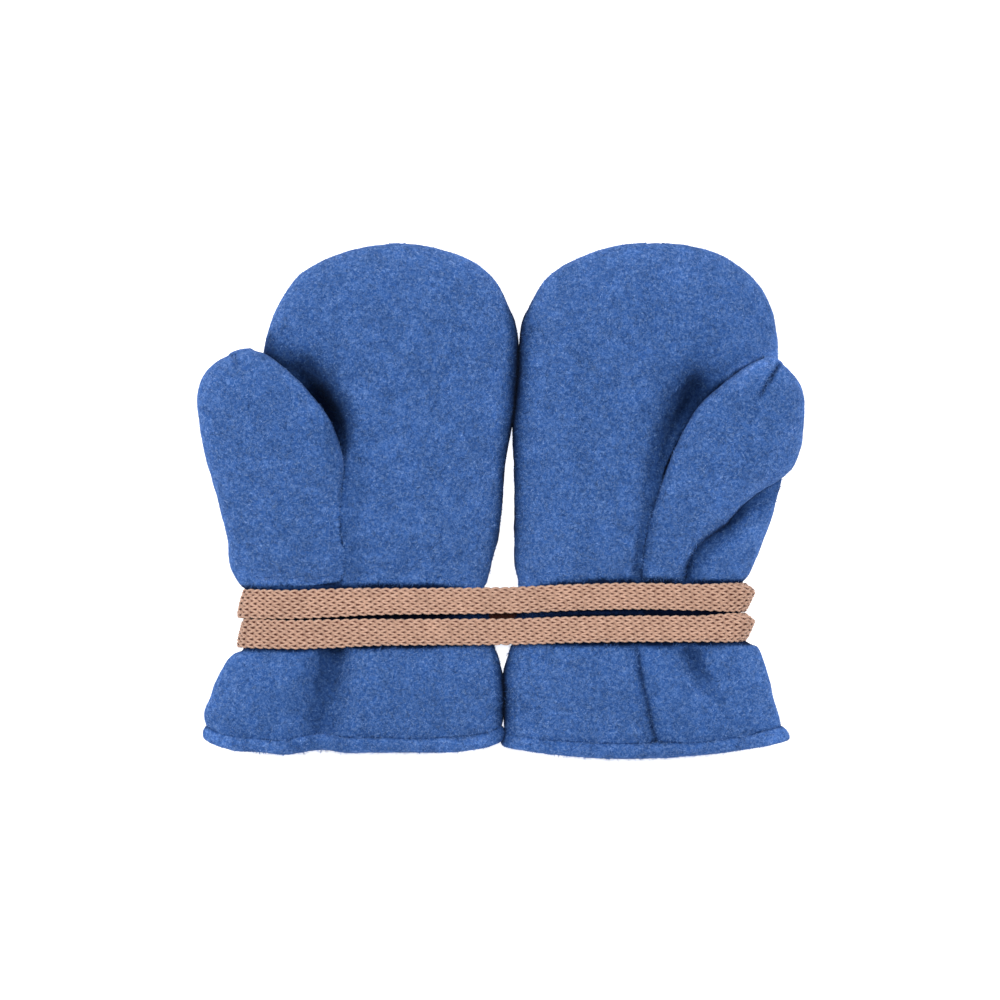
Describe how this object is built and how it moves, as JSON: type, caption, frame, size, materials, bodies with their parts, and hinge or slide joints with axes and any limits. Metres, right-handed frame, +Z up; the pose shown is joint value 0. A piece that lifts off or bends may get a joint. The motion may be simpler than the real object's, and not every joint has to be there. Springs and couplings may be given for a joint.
{
  "type": "pair of baby mittens",
  "caption": "Pair of thick fleece baby mittens with set-in thumbs, laid palms up side by side, their wrists bound together with a flat knitted cord.",
  "frame": {"origin": "middle of the pair's outline, on the surface that the mittens lie on", "axes": "+X across the pair to the mitten whose thumb points right, +Y towards the fingertips, +Z up out of the surface, on the palm side"},
  "size_m": [0.1655, 0.1419, 0.026],
  "materials": {
    "fleece": "matte napped wool fleece",
    "cord_yarn": "matte knitted yarn"
  },
  "bodies": {
    "root": {"left_palm": "fleece", "left_back": "fleece", "left_thumb": "fleece", "left_hem": "fleece", "right_palm": "fleece", "right_back": "fleece", "right_thumb": "fleece", "right_hem": "fleece", "cord": "cord_yarn"}
  },
  "joints": []
}
